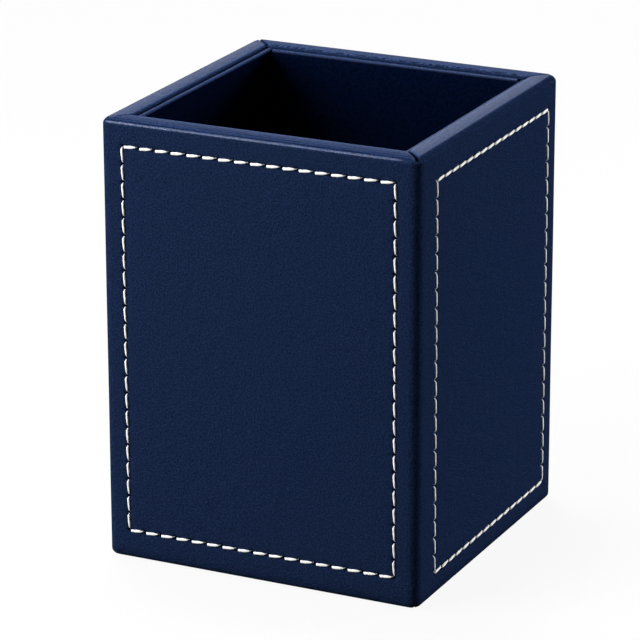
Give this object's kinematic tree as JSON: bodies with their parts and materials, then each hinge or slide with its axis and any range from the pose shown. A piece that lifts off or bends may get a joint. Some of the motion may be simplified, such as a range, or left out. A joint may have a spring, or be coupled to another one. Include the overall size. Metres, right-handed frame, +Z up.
{
  "type": "pen holder",
  "caption": "Square upright desk pen holder, leather-covered board box with topstitched walls, mitred rim, lined open well and a flocked pad under the base.",
  "frame": {"origin": "middle of the underside, on the surface that the holder stands on", "axes": "+Z up along the well, -Y towards the front wall, +X towards the right wall"},
  "size_m": [0.0808, 0.0808, 0.1075],
  "materials": {
    "cover_leather": "satin navy leather with a fine grain",
    "lining_leather": "matt navy lining leather",
    "thread": "off-white twisted thread",
    "board": "raw fibreboard",
    "card": "raw grey card",
    "pad_flock": "short dark navy flock"
  },
  "bodies": {
    "root": {"base_pad": "pad_flock", "base_board": "board", "floor_card": "card", "floor_lining": "lining_leather", "front_board": "board", "right_board": "board", "back_board": "board", "left_board": "board", "front_cover": "cover_leather", "right_cover": "cover_leather", "back_cover": "cover_leather", "left_cover": "cover_leather", "front_stitching": "thread", "right_stitching": "thread", "back_stitching": "thread", "left_stitching": "thread", "front_lining_card": "card", "right_lining_card": "card", "back_lining_card": "card", "left_lining_card": "card", "front_lining": "lining_leather", "right_lining": "lining_leather", "back_lining": "lining_leather", "left_lining": "lining_leather"}
  },
  "joints": []
}
